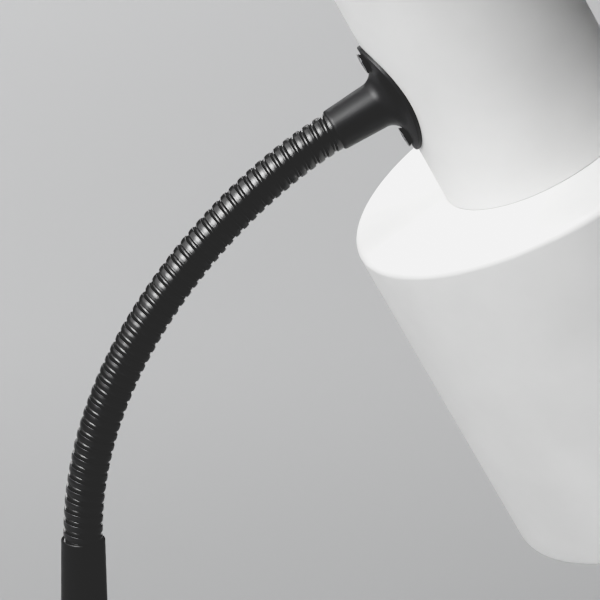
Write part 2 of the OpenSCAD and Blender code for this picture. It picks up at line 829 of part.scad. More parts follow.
module bulb_glass() {
    shoulder_r = bulb_r * 0.83;
    shoulder_z = bulb_centre + bulb_r * 0.55;
    shoulder_h = cap_z - shoulder_z;
    color("#f6f5ef") on_head() difference() {
        union() {
            translate([0, 0, bulb_centre]) sphere(r = bulb_r);
            translate([0, 0, shoulder_z]) cylinder(r1 = shoulder_r, r2 = bulb_neck_r, h = shoulder_h);
        }
        translate([0, 0, bulb_centre]) sphere(r = bulb_r - bulb_wall);
        translate([0, 0, shoulder_z])
            cylinder(r1 = shoulder_r - bulb_wall, r2 = bulb_neck_r - bulb_wall, h = shoulder_h + 0.01);
    }
}

module bulb_cap() {
    cone_h = 4;
    cone_r = 5;
    tip_r = 4.4;
    tip_h = 1.7;
    color(steel) on_head() {
        translate([0, 0, cap_z + fit]) cylinder(r = bulb_cap_r, h = bulb_cap_h);
        translate([0, 0, cap_z + bulb_cap_h]) cylinder(r1 = bulb_cap_r, r2 = cone_r, h = cone_h);
        translate([0, 0, cap_z + bulb_cap_h + cone_h]) cylinder(r = tip_r, h = tip_h);
    }
}

base_cover();
base_weight();
base_plate();
base_pad();
base_screws();
stem();
stem_nut();
switch_body();
switch_button();
switch_spring();
cable_gland();
terminal_block();
base_lead();
neck_part(1);  // neck_01
neck_part(2);  // neck_02
neck_part(3);  // neck_03
neck_part(4);  // neck_04
neck_part(5);  // neck_05
neck_part(6);  // neck_06
neck_part(7);  // neck_07
neck_part(8);  // neck_08
neck_part(9);  // neck_09
neck_part(10);  // neck_10
neck_part(11);  // neck_11
neck_part(12);  // neck_12
neck_part(13);  // neck_13
neck_part(14);  // neck_14
neck_part(15);  // neck_15
neck_part(16);  // neck_16
neck_part(17);  // neck_17
neck_part(18);  // neck_18
neck_part(19);  // neck_19
neck_part(20);  // neck_20
neck_part(21);  // neck_21
neck_lead(3);  // neck_lead_03
neck_lead(5);  // neck_lead_05
neck_lead(7);  // neck_lead_07
neck_lead(9);  // neck_lead_09
neck_lead(11);  // neck_lead_11
neck_lead(13);  // neck_lead_13
neck_lead(15);  // neck_lead_15
neck_lead(17);  // neck_lead_17
neck_lead(19);  // neck_lead_19
ferrule();
flange_screws();
holder_bracket();
lead_grommet();
head_lead();
housing();
holder_nipple();
nipple_nuts();
holder_cap();
holder_core();
holder_contact();
holder_skirt();
shade_ring();
shade();
bulb_glass();
bulb_cap();
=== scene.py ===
import json
import math

import bmesh
import bpy
from mathutils import Matrix, Vector


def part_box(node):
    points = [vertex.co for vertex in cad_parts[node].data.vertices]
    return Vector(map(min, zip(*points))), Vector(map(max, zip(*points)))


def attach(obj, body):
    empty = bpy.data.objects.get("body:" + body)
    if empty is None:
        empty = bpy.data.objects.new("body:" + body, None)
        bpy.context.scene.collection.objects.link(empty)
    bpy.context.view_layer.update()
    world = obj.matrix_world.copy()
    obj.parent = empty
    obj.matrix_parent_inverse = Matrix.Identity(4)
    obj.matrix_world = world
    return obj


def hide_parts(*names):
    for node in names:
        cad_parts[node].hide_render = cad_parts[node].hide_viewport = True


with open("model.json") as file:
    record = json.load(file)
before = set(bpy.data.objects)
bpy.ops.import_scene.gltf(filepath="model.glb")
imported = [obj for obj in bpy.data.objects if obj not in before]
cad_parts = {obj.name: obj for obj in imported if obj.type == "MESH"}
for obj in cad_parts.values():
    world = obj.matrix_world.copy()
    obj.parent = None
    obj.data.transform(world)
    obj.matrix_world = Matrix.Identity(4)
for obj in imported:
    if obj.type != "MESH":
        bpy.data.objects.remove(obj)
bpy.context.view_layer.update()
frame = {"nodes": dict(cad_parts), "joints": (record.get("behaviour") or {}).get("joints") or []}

MM = 0.001

# ---------- the camera: a long lens, from the front and a little above ----------

AIM = Vector((0.07015, 0.0080, 0.2655))
AZIMUTH = math.radians(-12.56)
ELEVATION = math.radians(18.38)
DISTANCE = 1.2308
LENS = 240.0


def make_camera():
    forward = Vector((
        -math.sin(AZIMUTH) * math.cos(ELEVATION),
        math.cos(AZIMUTH) * math.cos(ELEVATION),
        -math.sin(ELEVATION),
    ))
    data = bpy.data.cameras.new("camera")
    data.sensor_width = 36.0
    data.lens = LENS
    data.clip_start = 0.05
    data.clip_end = 50.0
    camera = bpy.data.objects.new("camera", data)
    camera.location = AIM - forward * DISTANCE
    camera.rotation_mode = "QUATERNION"
    camera.rotation_quaternion = forward.to_track_quat("-Z", "Y")
    bpy.context.scene.collection.objects.link(camera)
    bpy.context.scene.camera = camera


make_camera()

# ---------- dimensions shared with the CAD, in metres ----------

STEM_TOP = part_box("stem")[1].z
NECK_R = 6.1 * MM
NECK_PITCH = 3.48 * MM
NECK_TURN = math.radians(61.1)
# Share of the turn done, as the factors of the first four powers of the share of length
NECK_BEND = (1.23, 0.214, -1.43, 0.986)
FERRULE_LEN = 19.7 * MM
FERRULE_H = 39.5 * MM
HOUSING_R = 33.0 * MM
HOUSING_LEN = 105.0 * MM
SHADE_R = 65.0 * MM
SHADE_LEN = 112.0 * MM
FLANGE_T = 1.2 * MM
FLANGE_HALF_H = 18.4 * MM
FLANGE_HALF_W = 14.5 * MM
SCREW_AT = 13.55 * MM
SCREW_HEAD_R = 3.3 * MM
SCREW_SHANK_R = 1.75 * MM
SCREW_SEAT_R = 2.6 * MM  # countersink in the flange's face
CLOSED_R = 0.0005 * MM  # a ring so small that it closes a wall
BASE_R = 82.5 * MM
BASE_H = 22.0 * MM
SWITCH_X = 52.0 * MM


def along(lean):
    """Direction in the arm's plane that leans from the vertical towards +X."""
    return Vector((math.sin(lean), 0.0, math.cos(lean)))


def frame_at(origin, lean):
    """Matrix of a frame whose Z leans towards +X, with Y unchanged."""
    return Matrix.Translation(origin) @ Matrix.Rotation(lean, 4, "Y")


HINGES = [Vector(j["pos_m"]) for j in frame["joints"] if j["type"] == "hinge"]
HINGE_AXES = [Vector(j["axis"]) for j in frame["joints"] if j["type"] == "hinge"]
LINK_LEN = (HINGES[1] - HINGES[0]).length
LINKS = len(HINGES) + 1
STUB_LEN = (HINGES[0] - Vector((0.0, 0.0, STEM_TOP))).length
NECK_LEN = (LINKS - 2) * LINK_LEN + 2 * STUB_LEN
END_SHARE = 1.0 - STUB_LEN / 2 / NECK_LEN
END_LEAN = NECK_TURN * sum(b * END_SHARE ** (i + 1) for i, b in enumerate(NECK_BEND))
NECK_END = HINGES[-1] + along(END_LEAN) * STUB_LEN
RIM_CENTRE = (
    NECK_END + along(NECK_TURN) * (FERRULE_LEN + HOUSING_R)
    - along(NECK_TURN - math.pi / 2) * FERRULE_H
)
HEAD = frame_at(RIM_CENTRE, NECK_TURN - math.pi / 2)
FERRULE = frame_at(NECK_END, NECK_TURN)

# ---------- materials ----------


def new_material(name):
    material = bpy.data.materials.new(name)
    material.use_nodes = True
    nodes = material.node_tree.nodes
    shader = nodes["Principled BSDF"]
    return material, nodes, material.node_tree.links, shader


def noise_texture(nodes, links, size, detail=2.0, roughness=0.5, stretch=None):
    """Noise in object space whose features are about size metres across."""
    coords = nodes.new("ShaderNodeTexCoord")
    noise = nodes.new("ShaderNodeTexNoise")
    noise.inputs["Scale"].default_value = 1.0 / size
    noise.inputs["Detail"].default_value = detail
    noise.inputs["Roughness"].default_value = roughness
    if stretch is None:
        links.new(coords.outputs["Object"], noise.inputs["Vector"])
    else:
        mapping = nodes.new("ShaderNodeMapping")
        mapping.inputs["Scale"].default_value = stretch
        links.new(coords.outputs["Object"], mapping.inputs["Vector"])
        links.new(mapping.outputs["Vector"], noise.inputs["Vector"])
    return noise.outputs["Fac"]


def ranged(nodes, links, source, low, high, start=0.3, end=0.7):
    """source mapped from start..end to low..high."""
    node = nodes.new("ShaderNodeMapRange")
    node.inputs["From Min"].default_value = start
    node.inputs["From Max"].default_value = end
    node.inputs["To Min"].default_value = low
    node.inputs["To Max"].default_value = high
    links.new(source, node.inputs["Value"])
    return node.outputs["Result"]


def mixed_colour(nodes, links, factor, first, second):
    node = nodes.new("ShaderNodeMix")
    node.data_type = "RGBA"
    node.inputs["A"].default_value = (*first, 1.0)
    node.inputs["B"].default_value = (*second, 1.0)
    links.new(factor, node.inputs["Factor"])
    return node.outputs["Result"]


def add_bumps(nodes, links, shader, layers):
    """layers: (height source, depth in metres), each bump laid over the one before."""
    normal = None
    for source, depth in layers:
        bump = nodes.new("ShaderNodeBump")
        bump.inputs["Strength"].default_value = 1.0
        bump.inputs["Distance"].default_value = depth
        links.new(source, bump.inputs["Height"])
        if normal is not None:
            links.new(normal, bump.inputs["Normal"])
        normal = bump.outputs["Normal"]
    links.new(normal, shader.inputs["Normal"])


def edge_factor(nodes, links, low, high):
    """1 along convex edges, 0 on flats, from the mesh's pointiness."""
    geometry = nodes.new("ShaderNodeNewGeometry")
    return ranged(nodes, links, geometry.outputs["Pointiness"], 0.0, 1.0, low, high)


def powder_coat(name, colour, rough, grain=0.45 * MM, depth=6e-6, worn=None, specular=0.3):
    """Sprayed and baked powder coat: a fine orange peel, faint cloudiness, worn edges."""
    material, nodes, links, shader = new_material(name)
    cloud = noise_texture(nodes, links, 28 * MM, detail=3.0)
    peel = noise_texture(nodes, links, grain, detail=3.0, roughness=0.6)
    swell = noise_texture(nodes, links, 2.6 * MM, detail=1.0)
    shade = [c * 0.94 for c in colour]
    base = mixed_colour(nodes, links, ranged(nodes, links, cloud, 0.0, 1.0), colour, shade)
    if worn is not None:
        blend = nodes.new("ShaderNodeMix")
        blend.data_type = "RGBA"
        patches = noise_texture(nodes, links, 1.6 * MM, detail=4.0)
        rub = nodes.new("ShaderNodeMath")
        rub.operation = "MULTIPLY"
        links.new(edge_factor(nodes, links, 0.53, 0.62), rub.inputs[0])
        links.new(ranged(nodes, links, patches, 0.0, 0.8, 0.45, 0.7), rub.inputs[1])
        links.new(rub.outputs["Value"], blend.inputs["Factor"])
        links.new(base, blend.inputs["A"])
        blend.inputs["B"].default_value = (*worn, 1.0)
        base = blend.outputs["Result"]
    links.new(base, shader.inputs["Base Color"])
    links.new(ranged(nodes, links, peel, rough - 0.05, rough + 0.07), shader.inputs["Roughness"])
    shader.inputs["Specular IOR Level"].default_value = specular
    add_bumps(nodes, links, shader, [(swell, depth * 3.0), (peel, depth)])
    return material


def moulded(name, colour, rough, grain=0.3 * MM, depth=8e-6):
    """Moulded plastic or rubber with a fine spark-eroded texture."""
    material, nodes, links, shader = new_material(name)
    fine = noise_texture(nodes, links, grain, detail=4.0, roughness=0.7)
    cloud = noise_texture(nodes, links, 12 * MM)
    links.new(
        mixed_colour(nodes, links, cloud, colour, [c * 0.88 for c in colour]),
        shader.inputs["Base Color"],
    )
    links.new(ranged(nodes, links, fine, rough - 0.08, rough + 0.08), shader.inputs["Roughness"])
    add_bumps(nodes, links, shader, [(fine, depth)])
    return material


def bare_metal(name, colour, rough, grain=0.25 * MM, stretch=(1.0, 1.0, 8.0), metallic=1.0):
    """Plated or drawn metal: fine lines, and a little dulling in patches."""
    material, nodes, links, shader = new_material(name)
    lines = noise_texture(nodes, links, grain, detail=4.0, roughness=0.65, stretch=stretch)
    patches = noise_texture(nodes, links, 5 * MM, detail=3.0)
    dulled = [c * 0.8 for c in colour]
    patchy = ranged(nodes, links, patches, 0.0, 1.0)
    links.new(mixed_colour(nodes, links, patchy, colour, dulled), shader.inputs["Base Color"])
    links.new(ranged(nodes, links, lines, rough - 0.08, rough + 0.12), shader.inputs["Roughness"])
    shader.inputs["Metallic"].default_value = metallic
    add_bumps(nodes, links, shader, [(lines, 4e-6)])
    return material


def cast_iron():
    material, nodes, links, shader = new_material("cast_iron")
    sand = noise_texture(nodes, links, 1.1 * MM, detail=6.0, roughness=0.7)
    rust = noise_texture(nodes, links, 9 * MM, detail=5.0)
    grey, brown = (0.07, 0.068, 0.066), (0.13, 0.07, 0.04)
    rusty = ranged(nodes, links, rust, 0.0, 1.0, 0.5, 0.7)
    links.new(mixed_colour(nodes, links, rusty, grey, brown), shader.inputs["Base Color"])
    links.new(ranged(nodes, links, sand, 0.6, 0.85), shader.inputs["Roughness"])
    shader.inputs["Metallic"].default_value = 0.5
    add_bumps(nodes, links, shader, [(sand, 0.12 * MM)])
    return material


def opal_glass():
    """Opal white glass of an unlit bulb."""
    material, nodes, links, shader = new_material("opal_glass")
    cloud = noise_texture(nodes, links, 7 * MM, detail=2.0)
    links.new(
        mixed_colour(nodes, links, cloud, (0.86, 0.855, 0.84), (0.80, 0.795, 0.78)),
        shader.inputs["Base Color"],
    )
    links.new(ranged(nodes, links, cloud, 0.12, 0.2), shader.inputs["Roughness"])
    shader.inputs["Subsurface Weight"].default_value = 0.3
    shader.inputs["Subsurface Radius"].default_value = (0.004, 0.004, 0.004)
    shader.inputs["Subsurface Scale"].default_value = 1.0
    shader.inputs["Coat Weight"].default_value = 0.4
    return material


BLACK = (0.0065, 0.0065, 0.0068)
CAST_BLACK = (0.026, 0.026, 0.027)
WHITE = (0.87, 0.87, 0.865)
WORN = (0.03, 0.03, 0.03)

black_coat = powder_coat(
    "black_coat", BLACK, 0.44, grain=0.38 * MM, depth=5e-6, worn=WORN, specular=0.5,
)
ferrule_coat = powder_coat(
    "ferrule_coat", CAST_BLACK, 0.42, grain=0.34 * MM, depth=4e-6, worn=WORN,
)
neck_coat = powder_coat(
    "neck_coat", BLACK, 0.33, grain=0.3 * MM, depth=1.5e-6, worn=WORN, specular=0.8,
)
white_coat = powder_coat("white_coat", WHITE, 0.55, grain=0.4 * MM, depth=3e-6, specular=0.25)
screw_black = bare_metal("screw_black", (0.12, 0.12, 0.125), 0.22, metallic=0.9)
black_plastic = moulded("black_plastic", (0.025, 0.025, 0.027), 0.5)
black_rubber = moulded("black_rubber", (0.03, 0.03, 0.03), 0.75, grain=0.5 * MM, depth=2e-5)
cream_plastic = moulded("cream_plastic", (0.70, 0.67, 0.58), 0.4)
lead_sheath = moulded("lead_sheath", (0.62, 0.60, 0.55), 0.5)
foam = moulded("foam", (0.028, 0.028, 0.028), 0.9, grain=0.8 * MM, depth=1.2e-4)
ceramic = moulded("ceramic", (0.76, 0.73, 0.66), 0.45, grain=0.6 * MM, depth=1e-5)
zinc = bare_metal("zinc", (0.62, 0.63, 0.65), 0.3)
spring_wire = bare_metal("spring_wire", (0.55, 0.55, 0.56), 0.25)
brass = bare_metal("brass", (0.72, 0.52, 0.22), 0.3)
cap_metal = bare_metal(
    "cap_metal", (0.70, 0.70, 0.70), 0.32, grain=0.4 * MM, stretch=(1.0, 1.0, 1.0),
)
iron = cast_iron()
glass = opal_glass()

# ---------- mesh helpers ----------


def add_object(name, verts, faces, material, body, sharp=40.0):
    mesh = bpy.data.meshes.new(name)
    mesh.from_pydata([tuple(v) for v in verts], [], faces)
    mesh.validate()
    mesh.update()
    bm = bmesh.new()
    bm.from_mesh(mesh)
    bmesh.ops.recalc_face_normals(bm, faces=bm.faces)
    bm.to_mesh(mesh)
    bm.free()
    mesh.shade_smooth()
    mesh.set_sharp_from_angle(angle=math.radians(sharp))
    obj = bpy.data.objects.new(name, mesh)
    bpy.context.scene.collection.objects.link(obj)
    obj.data.materials.append(material)
    if body is not None:
        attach(obj, body)
    return obj


def arc(centre_r, centre_z, radius, start, end, steps=8):
    """Points of a profile's round corner; angles in degrees, 0 along +r, 90 along +z."""
    return [
        (
            centre_r + radius * math.cos(math.radians(start + (end - start) * i / steps)),
            centre_z + radius * math.sin(math.radians(start + (end - start) * i / steps)),
        )
        for i in range(steps + 1)
    ]


def lathe(
    name, profile, material, body, place=None, segments=192, closed=True, sharp=40.0,
):
    """Turns a profile of (r, z) points round the Z axis of place; a closed one joins its ends."""
    place = place or Matrix.Identity(4)
    verts, rings = [], []
    for r, z in profile:
        if r < 1e-7:
            rings.append([len(verts)])
            verts.append(place @ Vector((0.0, 0.0, z)))
            continue
        ring = []
        for i in range(segments):
            turn = 2 * math.pi * i / segments
            ring.append(len(verts))
            verts.append(place @ Vector((r * math.cos(turn), r * math.sin(turn), z)))
        rings.append(ring)
    faces = []
    pairs = list(zip(rings, rings[1:]))
    if closed:
        pairs.append((rings[-1], rings[0]))
    for low, high in pairs:
        for i in range(segments):
            j = (i + 1) % segments
            if len(low) == 1 and len(high) == 1:
                break
            if len(low) == 1:
                faces.append((low[0], high[j], high[i]))
            elif len(high) == 1:
                faces.append((low[i], low[j], high[0]))
            else:
                faces.append((low[i], low[j], high[j], high[i]))
    return add_object(name, verts, faces, material, body, sharp)


# ---------- the neck: two wires wound round one smooth line ----------


def neck_line():
    """Distances, points and leans of the neck's centre line at its ends and hinges."""
    points = [Vector((0.0, 0.0, STEM_TOP)), *HINGES, NECK_END]
    leans = []
    for k, point in enumerate(points):
        if k == 0:
            leans.append(0.0)
        elif k == len(points) - 1:
            leans.append(NECK_TURN)
        else:
            before = point - points[k - 1]
            after = points[k + 1] - point
            leans.append((math.atan2(before.x, before.z) + math.atan2(after.x, after.z)) / 2)
    distances = [0.0]
    for a, b in zip(points, points[1:]):
        distances.append(distances[-1] + (b - a).length)
    return distances, points, leans


LINE_S, LINE_P, LINE_LEAN = neck_line()


def neck_at(s):
    """Point and lean of the centre line at a distance s from the stem's mouth."""
    if s <= 0.0:
        return LINE_P[0] + along(0.0) * s, 0.0
    if s >= LINE_S[-1]:
        return LINE_P[-1] + along(NECK_TURN) * (s - LINE_S[-1]), NECK_TURN
    k = max(i for i in range(len(LINE_S) - 1) if LINE_S[i] <= s)
    span = LINE_S[k + 1] - LINE_S[k]
    t = (s - LINE_S[k]) / span
    p0, p1 = LINE_P[k], LINE_P[k + 1]
    m0, m1 = along(LINE_LEAN[k]) * span, along(LINE_LEAN[k + 1]) * span
    point = (
        p0 * (2 * t**3 - 3 * t**2 + 1) + m0 * (t**3 - 2 * t**2 + t)
        + p1 * (-2 * t**3 + 3 * t**2) + m1 * (t**3 - t**2)
    )
    slope = (
        p0 * (6 * t**2 - 6 * t) + m0 * (3 * t**2 - 4 * t + 1)
        + p1 * (-6 * t**2 + 6 * t) + m1 * (3 * t**2 - 2 * t)
    )
    return point, math.atan2(slope.x, slope.z)


STEPS_PER_TURN = 44
FLAT_W = 2.12 * MM
ROUND_R = 1.0 * MM
ROUND_AT = 4.6 * MM  # from the neck's line to the middle of the round wire
HAND = -1.0  # left-handed


def flat_wire_section():
    """Flat wire: a slightly crowned face, rounded edges, sides that close in towards the core."""
    half = FLAT_W / 2
    drop, edge_r = 0.07 * MM, 0.2 * MM
    crown = [(NECK_R - drop * (x / 0.8) ** 2, half * x) for x in (-0.78, -0.4, 0.0, 0.4, 0.78)]
    low_edge = arc(NECK_R - drop - edge_r, -half + edge_r, edge_r, 280, 380, 4)
    high_edge = arc(NECK_R - drop - edge_r, half - edge_r, edge_r, -20, 80, 4)
    core = [(4.25 * MM, half * 0.55), (4.25 * MM, -half * 0.55)]
    return low_edge + crown[1:-1] + high_edge + core


def round_wire_section():
    return arc(ROUND_AT, 0.0, ROUND_R, 0, 345, 23)


def wind_wire(name, section, phase, s_start, s_end, body):
    """A wire of this section wound from s_start to s_end, phase being the share of a turn it lags."""
    turns = (s_end - s_start) / NECK_PITCH
    steps = max(2, round(turns * STEPS_PER_TURN))
    verts, faces = [], []
    count = len(section)
    for i in range(steps + 1):
        s = s_start + (s_end - s_start) * i / steps
        point, lean = neck_at(s)
        turn = HAND * 2 * math.pi * (s / NECK_PITCH - phase)
        axis = along(lean)
        outward = along(lean + math.pi / 2) * math.cos(turn) + Vector((0, math.sin(turn), 0))
        verts += [point + outward * r + axis * w for r, w in section]
    for i in range(steps):
        for j in range(count):
            n = (j + 1) % count
            a, b = i * count, (i + 1) * count
            faces.append((a + j, a + n, b + n, b + j))
    faces.append(tuple(range(count)))
    faces.append(tuple(steps * count + j for j in reversed(range(count))))
    return add_object(name, verts, faces, neck_coat, body, sharp=50.0)


def cut_at(hinge, phase):
    """Where a wire is cut for a hinge: where it crosses the hinge's axis, so the step is small."""
    quarter = 0.25 if abs(HINGE_AXES[hinge].y) > 0.5 else 0.0
    shift = phase + quarter
    halves = round(2 * (LINE_S[hinge + 1] / NECK_PITCH - shift))
    return NECK_PITCH * (shift + halves / 2)


def build_neck():
    """Both wires, one rigid stretch of each to a link, with ends that run into their sockets."""
    bodies = ["base"] + [f"link_{k:02d}" for k in range(2, LINKS)] + ["head"]
    socket = 3.0 * MM
    wires = (("flat", flat_wire_section(), 0.0), ("round", round_wire_section(), 0.5))
    for kind, section, phase in wires:
        cuts = [-socket] + [cut_at(k, phase) for k in range(LINKS - 1)] + [LINE_S[-1] + socket]
        for k, body in enumerate(bodies):
            name = f"neck_{kind}_wire_{k + 1:02d}"
            wire = wind_wire(name, section, phase, cuts[k], cuts[k + 1], body)
            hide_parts(f"neck_{k + 1:02d}")


build_neck()

# ---------- stem and base ----------


def build_stem():
    """Tapered stem with a rounded mouth and a flared foot."""
    lip_r, foot_r, flare = 6.8 * MM, 10.0 * MM, 9.0 * MM
    flare_top = BASE_H + 1.2 * MM + flare
    mouth = 0.55 * MM
    bore = NECK_R + 0.06 * MM
    profile = [(0.0, BASE_H - 8 * MM), (8.0 * MM, BASE_H - 8 * MM), (8.0 * MM, BASE_H + 0.02 * MM)]
    profile += [(16.6 * MM, BASE_H + 0.02 * MM)]
    profile += arc(16.55 * MM, BASE_H + 0.47 * MM, 0.43 * MM, -90, 90, 6)
    profile += arc(foot_r + flare, flare_top, flare, 232, 180, 16)
    steps = 24
    for i in range(1, steps):
        t = i / steps
        z = flare_top + (STEM_TOP - mouth - flare_top) * t
        profile.append((foot_r + (lip_r - foot_r) * t, z))
    profile += arc(lip_r - mouth, STEM_TOP - mouth, mouth, 0, 78, 8)
    profile += [(bore + 0.12 * MM, STEM_TOP - 0.1 * MM), (bore, STEM_TOP - 0.35 * MM)]
    profile += [(bore, STEM_TOP - 5 * MM), (0.0, STEM_TOP - 5 * MM)]
    stem = lathe(
        "stem_tube", profile, black_coat, "base", segments=128, closed=False,
    )
    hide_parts("stem")


def build_base_cover():
    """Pressed cover with a rolled lower edge and a rounded shoulder."""
    edge, sheet, low = 4.5 * MM, 1.2 * MM, 1.6 * MM
    top = BASE_H
    profile = arc(BASE_R - 0.6 * MM, low + 0.6 * MM, 0.6 * MM, 180, 360, 8)
    profile += arc(BASE_R - edge, top - edge, edge, 0, 90, 14)
    profile += [(60 * MM, top), (40 * MM, top), (20 * MM, top), (8.2 * MM, top)]
    profile += [(8.2 * MM, top - sheet), (40 * MM, top - sheet)]
    profile += arc(BASE_R - edge, top - edge, edge - sheet, 90, 0, 8)
    cover = lathe("base_shell", profile, black_coat, "base", segments=256)
    switch_hole = Matrix.Translation((SWITCH_X, 0, BASE_H))
    inlet = Matrix.Translation((-BASE_R, 0, 10.5 * MM)) @ Matrix.Rotation(math.pi / 2, 4, "Y")
    cut_holes(cover, [(switch_hole, 6.15 * MM, 6 * MM), (inlet, 5.5 * MM, 8 * MM)])
    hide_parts("base_cover")


def cylinder_mesh(name, place, radius, half, segments=96, end_radius=None):
    """Cylinder, or a cone that ends at end_radius, half its length to each side of place."""
    bm = bmesh.new()
    bmesh.ops.create_cone(
        bm, cap_ends=True, segments=segments, radius1=radius,
        radius2=radius if end_radius is None else end_radius, depth=2 * half, matrix=place,
    )
    mesh = bpy.data.meshes.new(name)
    bm.to_mesh(mesh)
    bm.free()
    obj = bpy.data.objects.new(name, mesh)
    bpy.context.scene.collection.objects.link(obj)
    return obj


def apply_boolean(obj, tool):
    """Cuts obj with tool for good, and removes the tool."""
    modifier = obj.modifiers.new("cut", "BOOLEAN")
    modifier.object = tool
    modifier.operation = "DIFFERENCE"
    modifier.solver = "EXACT"
    bpy.context.view_layer.update()
    graph = bpy.context.evaluated_depsgraph_get()
    mesh = bpy.data.meshes.new_from_object(obj.evaluated_get(graph))
    obj.modifiers.clear()
    old = obj.data
    obj.data = mesh
    mesh.name = old.name
    bpy.data.meshes.remove(old)
    bpy.data.objects.remove(tool)
    obj.data.shade_smooth()
    obj.data.set_sharp_from_angle(angle=math.radians(40))


def cut_holes(obj, holes):
    for place, radius, half in holes:
        apply_boolean(obj, cylinder_mesh("hole", place, radius, half))


build_stem()
build_base_cover()

# ---------- ferrule with its saddle flange ----------


def flange_edge(turn):
    """Distance from the ferrule's axis to the oval's edge."""
    c, s = math.cos(turn) / FLANGE_HALF_H, math.sin(turn) / FLANGE_HALF_W
    return 1.0 / math.hypot(c, s)


def saddle(radius, r, turn):
    """Height above a point of the flange of a cylinder of this radius round the housing's axis."""
    y = min(abs(r * math.sin(turn)), radius)
    return FERRULE_LEN + HOUSING_R - math.sqrt(radius * radius - y * y)


def build_ferrule():
    """Short tube with an elliptical lip that flares into an oval flange saddled on the housing."""
    mouth_r, waist_r, fillet = 6.7 * MM, 7.3 * MM, 4.5 * MM
    mouth, mouth_rise = 0.5 * MM, 1.4 * MM
    bore = NECK_R + 0.06 * MM
    bore_end = 5 * MM
    edge_round = 0.35 * MM
    lead_hole = 3.6 * MM
    outer, inner = HOUSING_R + FLANGE_T, HOUSING_R + 0.03 * MM
    segments = 160
    rows = []

    def row(function):
        rows.append([function(2 * math.pi * i / segments) for i in range(segments)])

    mouth_profile = [(CLOSED_R, bore_end), (bore, bore_end)]
    mouth_profile += [(bore, 0.3 * MM), (bore + 0.08 * MM, 0.08 * MM)]
    for r, z in arc(0.0, 0.0, 1.0, -80, 0, 10):
        mouth_profile.append((mouth_r - mouth + mouth * r, mouth_rise + mouth_rise * z))
    for r, z in mouth_profile:
        row(lambda turn, r=r, z=z: (r, z))
    waist_z = FERRULE_LEN - FLANGE_T - fillet
    for i in range(1, 8):
        t = i / 8
        r, z = mouth_r + (waist_r - mouth_r) * t, mouth_rise + (waist_z - mouth_rise) * t
        row(lambda turn, r=r, z=z: (r, z))
    for i in range(19):
        a = math.pi / 2 * i / 18

        def fillet_point(turn, a=a):
            r = waist_r + fillet * (1 - math.cos(a))
            return r, saddle(outer, r, turn) - fillet * (1 - math.sin(a))

        row(fillet_point)
    start_r = waist_r + fillet
    for i in range(1, 13):
        t = i / 12

        def face_point(turn, t=t):
            r = start_r + (flange_edge(turn) - edge_round - start_r) * t
            return r, saddle(outer, r, turn)

        row(face_point)
    for i in range(1, 6):
        a = math.pi / 2 * i / 5

        def edge_point(turn, a=a):
            r = flange_edge(turn) - edge_round * (1 - math.sin(a))
            return r, saddle(outer, r, turn) + edge_round * (1 - math.cos(a))

        row(edge_point)

    def back_point(turn, t):
        edge = flange_edge(turn) - 0.1 * MM
        r = lead_hole + (edge - lead_hole) * t
        return r, saddle(inner, r, turn)

    row(lambda turn: (flange_edge(turn), saddle(inner, flange_edge(turn), turn) - 0.1 * MM))
    for t in (1.0, 0.6, 0.3, 0.0):
        row(lambda turn, t=t: back_point(turn, t))
    row(lambda turn: (lead_hole, bore_end + 1 * MM))
    row(lambda turn: (CLOSED_R, bore_end + 1 * MM))
    verts, faces = [], []
    for points in rows:
        for i, (r, z) in enumerate(points):
            turn = 2 * math.pi * i / segments
            verts.append(FERRULE @ Vector((r * math.cos(turn), r * math.sin(turn), z)))
    count = len(rows)
    for k in range(count):
        a, b = k * segments, ((k + 1) % count) * segments
        for i in range(segments):
            j = (i + 1) % segments
            faces.append((a + i, a + j, b + j, b + i))
    ferrule = add_object("saddle_ferrule", verts, faces, ferrule_coat, "head")
    reach = 2 * MM
    for side in (-1, 1):
        middle = FERRULE_LEN - FLANGE_T + SCREW_SEAT_R - SCREW_SHANK_R - reach
        place = FERRULE @ Matrix.Translation((side * SCREW_AT, 0, middle))
        wide = SCREW_SEAT_R + 2 * reach - (SCREW_SEAT_R - SCREW_SHANK_R)
        tool = cylinder_mesh("countersink", place, wide, reach, end_radius=SCREW_SHANK_R)
        apply_boolean(ferrule, tool)
    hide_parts("ferrule")


def build_flange_screws():
    """Countersunk screws that stand proud of the flange: a low dome, a thin rim and a cone."""
    face = FERRULE_LEN - FLANGE_T
    proud, rim, crown = 1.1 * MM, 0.35 * MM, 0.15 * MM
    cone = SCREW_HEAD_R - SCREW_SHANK_R
    edge = 0.1 * MM
    for index, side in enumerate((-1, 1)):
        seat = FERRULE @ Matrix.Translation((side * SCREW_AT, 0, face))
        place = seat @ Matrix.Rotation(math.pi, 4, "X")
        foot = proud - rim
        profile = [(0.0, -4 * MM), (SCREW_SHANK_R, -4 * MM), (SCREW_SHANK_R, foot - cone)]
        profile += [(SCREW_HEAD_R - edge / 2, foot - edge / 2), (SCREW_HEAD_R, foot + edge / 2)]
        profile += arc(SCREW_HEAD_R - edge, proud - edge, edge, 0, 75, 4)
        profile += [(SCREW_HEAD_R * t, proud + crown * (1 - t * t)) for t in (0.85, 0.7, 0.5, 0.3)]
        profile += [(0.0, proud + crown)]
        name = f"flange_screw_{index + 1}"
        screw = lathe(name, profile, screw_black, "head", place, 96, False)
        for turn in (0.35, 0.35 + math.pi / 2):
            turned = place @ Matrix.Rotation(turn + index, 4, "Z")
            apply_boolean(screw, recess_wing(turned, proud + crown))
        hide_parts("flange_screws")


